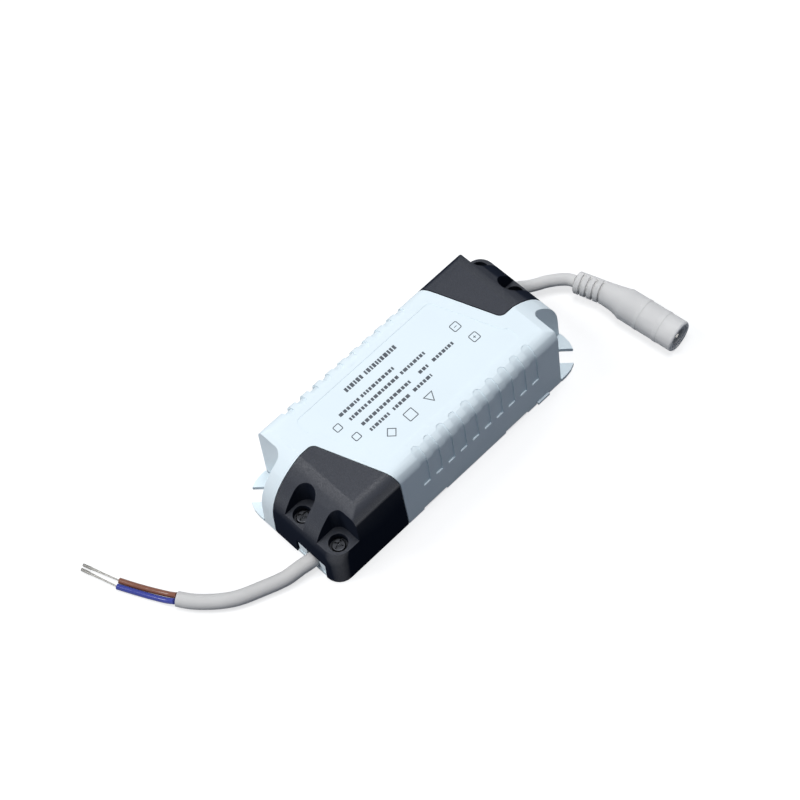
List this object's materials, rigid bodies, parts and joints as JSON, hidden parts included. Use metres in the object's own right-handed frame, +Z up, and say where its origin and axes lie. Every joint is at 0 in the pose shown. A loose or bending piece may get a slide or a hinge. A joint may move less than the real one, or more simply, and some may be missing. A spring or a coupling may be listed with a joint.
{
  "type": "LED driver",
  "caption": "White LED driver case with black screwed end covers, grooved sides, fixing ears, a mains lead with bare cores and an output lead with an inline socket.",
  "frame": {"origin": "centre of the case's underside, on the surface that it stands on", "axes": "+X along the case towards the output lead, +Y across it, +Z up out of the printed face"},
  "size_m": [0.1793, 0.0789, 0.028],
  "materials": {
    "top_cover": "fine moulded texture",
    "input_terminal_cover": "sparkling moulded texture",
    "output_terminal_cover": "sparkling moulded texture",
    "base_tray": "fine moulded texture",
    "cover_screw_1": "blackened",
    "cover_screw_2": "blackened",
    "cover_screw_3": "blackened",
    "cover_screw_4": "blackened",
    "input_cord_clamp": "moulded",
    "output_cord_clamp": "moulded",
    "circuit_board": "bare laminate",
    "transformer_core": "ferrite",
    "transformer_coil": "taped winding",
    "bulk_capacitor": "sleeved can",
    "output_capacitor_1": "sleeved can",
    "output_capacitor_2": "sleeved can",
    "common_mode_choke": "enamelled wire",
    "film_capacitor": "boxed",
    "fuse": "sleeved",
    "bridge_rectifier": "moulded",
    "optocoupler": "moulded",
    "heat_spreader": "sheared sheet",
    "switching_transistor": "moulded",
    "output_diode": "moulded",
    "input_terminal_block": "moulded",
    "output_terminal_block": "moulded",
    "input_cable_jacket": "smooth sheath",
    "output_cable": "smooth sheath",
    "brown_core": "smooth insulation",
    "blue_core": "smooth insulation",
    "brown_tip": "tinned strands",
    "blue_tip": "tinned strands",
    "input_inner_brown": "smooth insulation",
    "input_inner_blue": "smooth insulation",
    "output_inner_black": "smooth insulation",
    "output_inner_red": "smooth insulation",
    "socket_body": "moulded",
    "socket_insulator": "moulded",
    "socket_pin": "plated"
  },
  "bodies": {
    "root": {"top_cover": "top_cover", "input_terminal_cover": "input_terminal_cover", "output_terminal_cover": "output_terminal_cover", "base_tray": "base_tray", "cover_screw_1": "cover_screw_1", "cover_screw_2": "cover_screw_2", "cover_screw_3": "cover_screw_3", "cover_screw_4": "cover_screw_4", "input_cord_clamp": "input_cord_clamp", "output_cord_clamp": "output_cord_clamp", "circuit_board": "circuit_board", "transformer_core": "transformer_core", "transformer_coil": "transformer_coil", "bulk_capacitor": "bulk_capacitor", "output_capacitor_1": "output_capacitor_1", "output_capacitor_2": "output_capacitor_2", "common_mode_choke": "common_mode_choke", "film_capacitor": "film_capacitor", "fuse": "fuse", "bridge_rectifier": "bridge_rectifier", "optocoupler": "optocoupler", "heat_spreader": "heat_spreader", "switching_transistor": "switching_transistor", "output_diode": "output_diode", "input_terminal_block": "input_terminal_block", "output_terminal_block": "output_terminal_block", "input_cable_jacket": "input_cable_jacket", "output_cable": "output_cable", "brown_core": "brown_core", "blue_core": "blue_core", "brown_tip": "brown_tip", "blue_tip": "blue_tip", "input_inner_brown": "input_inner_brown", "input_inner_blue": "input_inner_blue", "output_inner_black": "output_inner_black", "output_inner_red": "output_inner_red", "socket_body": "socket_body", "socket_insulator": "socket_insulator", "socket_pin": "socket_pin"}
  },
  "joints": []
}
